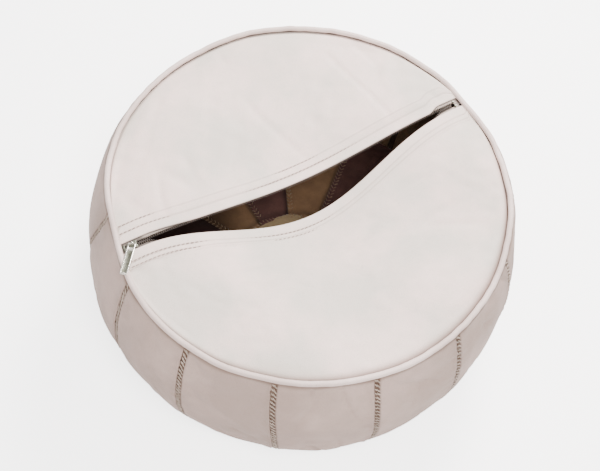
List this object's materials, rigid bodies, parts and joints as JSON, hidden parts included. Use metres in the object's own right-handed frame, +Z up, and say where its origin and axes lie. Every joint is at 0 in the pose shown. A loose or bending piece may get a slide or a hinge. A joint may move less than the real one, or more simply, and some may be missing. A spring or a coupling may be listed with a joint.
{
  "type": "floor pouf cover",
  "caption": "Low round floor pouf cover in pale panelled leather, lying with its zipped underside up, its zip open and no filling in it.",
  "frame": {"origin": "on the floor under the pouf's centre, on the underside of the crown's medallion", "axes": "+Z up as it lies with its zipped underside up (in use it is turned over); the zip runs along X, with the slider parked at the -X end; +Y is the far half"},
  "size_m": [0.5684, 0.5612, 0.2521],
  "materials": {
    "face_leather": "matt undyed leather with a fine grain",
    "side_leather": "matt undyed leather, a little duller than the face",
    "welt_leather": "matt undyed leather, stretched smooth over the cord",
    "tan_raw_leather": "rough flesh side, golden tan",
    "plum_raw_leather": "rough flesh side, plum brown",
    "olive_raw_leather": "rough flesh side, olive gold",
    "seam_thread": "waxed thread, taupe",
    "cotton_cord": "twisted cotton",
    "zip_tape": "woven polyester, grey beige",
    "zip_teeth": "moulded coil teeth",
    "nickel": "worn nickel plate"
  },
  "bodies": {
    "shell": {"side_panel_01": "side_leather", "side_panel_02": "side_leather", "side_panel_03": "side_leather", "side_panel_04": "side_leather", "side_panel_05": "side_leather", "side_panel_06": "side_leather", "side_panel_07": "side_leather", "side_panel_08": "side_leather", "side_panel_09": "side_leather", "side_panel_10": "side_leather", "side_panel_11": "side_leather", "side_panel_12": "side_leather", "side_panel_13": "side_leather", "side_panel_14": "side_leather", "crown_gore_01": "tan_raw_leather", "crown_gore_02": "plum_raw_leather", "crown_gore_03": "tan_raw_leather", "crown_gore_04": "plum_raw_leather", "crown_gore_05": "tan_raw_leather", "crown_gore_06": "plum_raw_leather", "crown_gore_07": "tan_raw_leather", "crown_gore_08": "plum_raw_leather", "crown_gore_09": "tan_raw_leather", "crown_gore_10": "plum_raw_leather", "crown_gore_11": "tan_raw_leather", "crown_gore_12": "plum_raw_leather", "crown_gore_13": "tan_raw_leather", "crown_gore_14": "plum_raw_leather", "side_lace_01": "seam_thread", "side_lace_02": "seam_thread", "side_lace_03": "seam_thread", "side_lace_04": "seam_thread", "side_lace_05": "seam_thread", "side_lace_06": "seam_thread", "side_lace_07": "seam_thread", "side_lace_08": "seam_thread", "side_lace_09": "seam_thread", "side_lace_10": "seam_thread", "side_lace_11": "seam_thread", "side_lace_12": "seam_thread", "side_lace_13": "seam_thread", "side_lace_14": "seam_thread", "crown_medallion": "olive_raw_leather", "far_half_panel": "face_leather", "near_half_panel": "face_leather", "zip_bottom_stop": "nickel", "far_zip_top_stop": "nickel", "near_zip_top_stop": "nickel", "welt_cover": "welt_leather", "welt_cord": "cotton_cord"},
    "slider": {"zip_slider": "nickel"},
    "pull_tab": {"pull_tab": "nickel"},
    "near_lip": {"near_zip_tape": "zip_tape", "near_zip_chain": "zip_teeth"},
    "far_lip": {"far_zip_tape": "zip_tape", "far_zip_chain": "zip_teeth"}
  },
  "joints": [
    {"name": "zip_travel", "type": "slide", "parent": "shell", "child": "slider", "axis": [1, 0, 0], "range_m": [0, 0.446]},
    {"name": "tab_swing", "type": "hinge", "parent": "slider", "child": "pull_tab", "pos_m": [-0.223, 0.03, 0.247], "axis": [-0.788, 0.6157, 0], "range_deg": [0, 160]},
    {"name": "near_lip_close", "type": "slide", "parent": "shell", "child": "near_lip", "axis": [0, 0.726, 0.6877], "range_m": [0, 0.05235], "deforming": ["near_zip_tape", "near_zip_chain"]},
    {"name": "far_lip_close", "type": "slide", "parent": "shell", "child": "far_lip", "axis": [0, 0.1888, 0.982], "range_m": [0, 0.02648], "deforming": ["far_zip_tape", "far_zip_chain"]}
  ],
  "couplings": [
    {"joint": "near_lip_close", "follows": "zip_travel", "ratio": 0.11736},
    {"joint": "far_lip_close", "follows": "zip_travel", "ratio": 0.059364}
  ]
}
